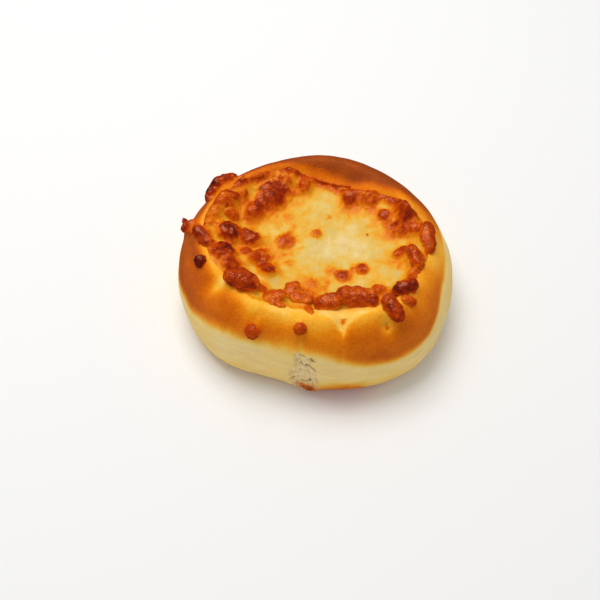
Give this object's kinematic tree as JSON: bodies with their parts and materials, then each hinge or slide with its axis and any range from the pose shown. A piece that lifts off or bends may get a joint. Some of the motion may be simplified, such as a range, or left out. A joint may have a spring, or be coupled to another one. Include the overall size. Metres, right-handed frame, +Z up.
{
  "type": "bread roll",
  "caption": "Round soft bread roll with a shallow dish of melted, partly browned cheese baked onto its top and a pale side, resting on a flat base.",
  "frame": {"origin": "on the surface that the roll rests on, under the middle of the roll's box in plan", "axes": "+Z up, out of the cheese; +X along the roll's longest width; -Y towards the flatter front side with the torn crumb patch"},
  "size_m": [0.1032, 0.095, 0.0388],
  "materials": {
    "baked_crust": "satin",
    "melted_cheese": "satin",
    "browned_cheese": "gloss"
  },
  "bodies": {
    "root": {"bread_roll": "baked_crust"}
  },
  "joints": []
}
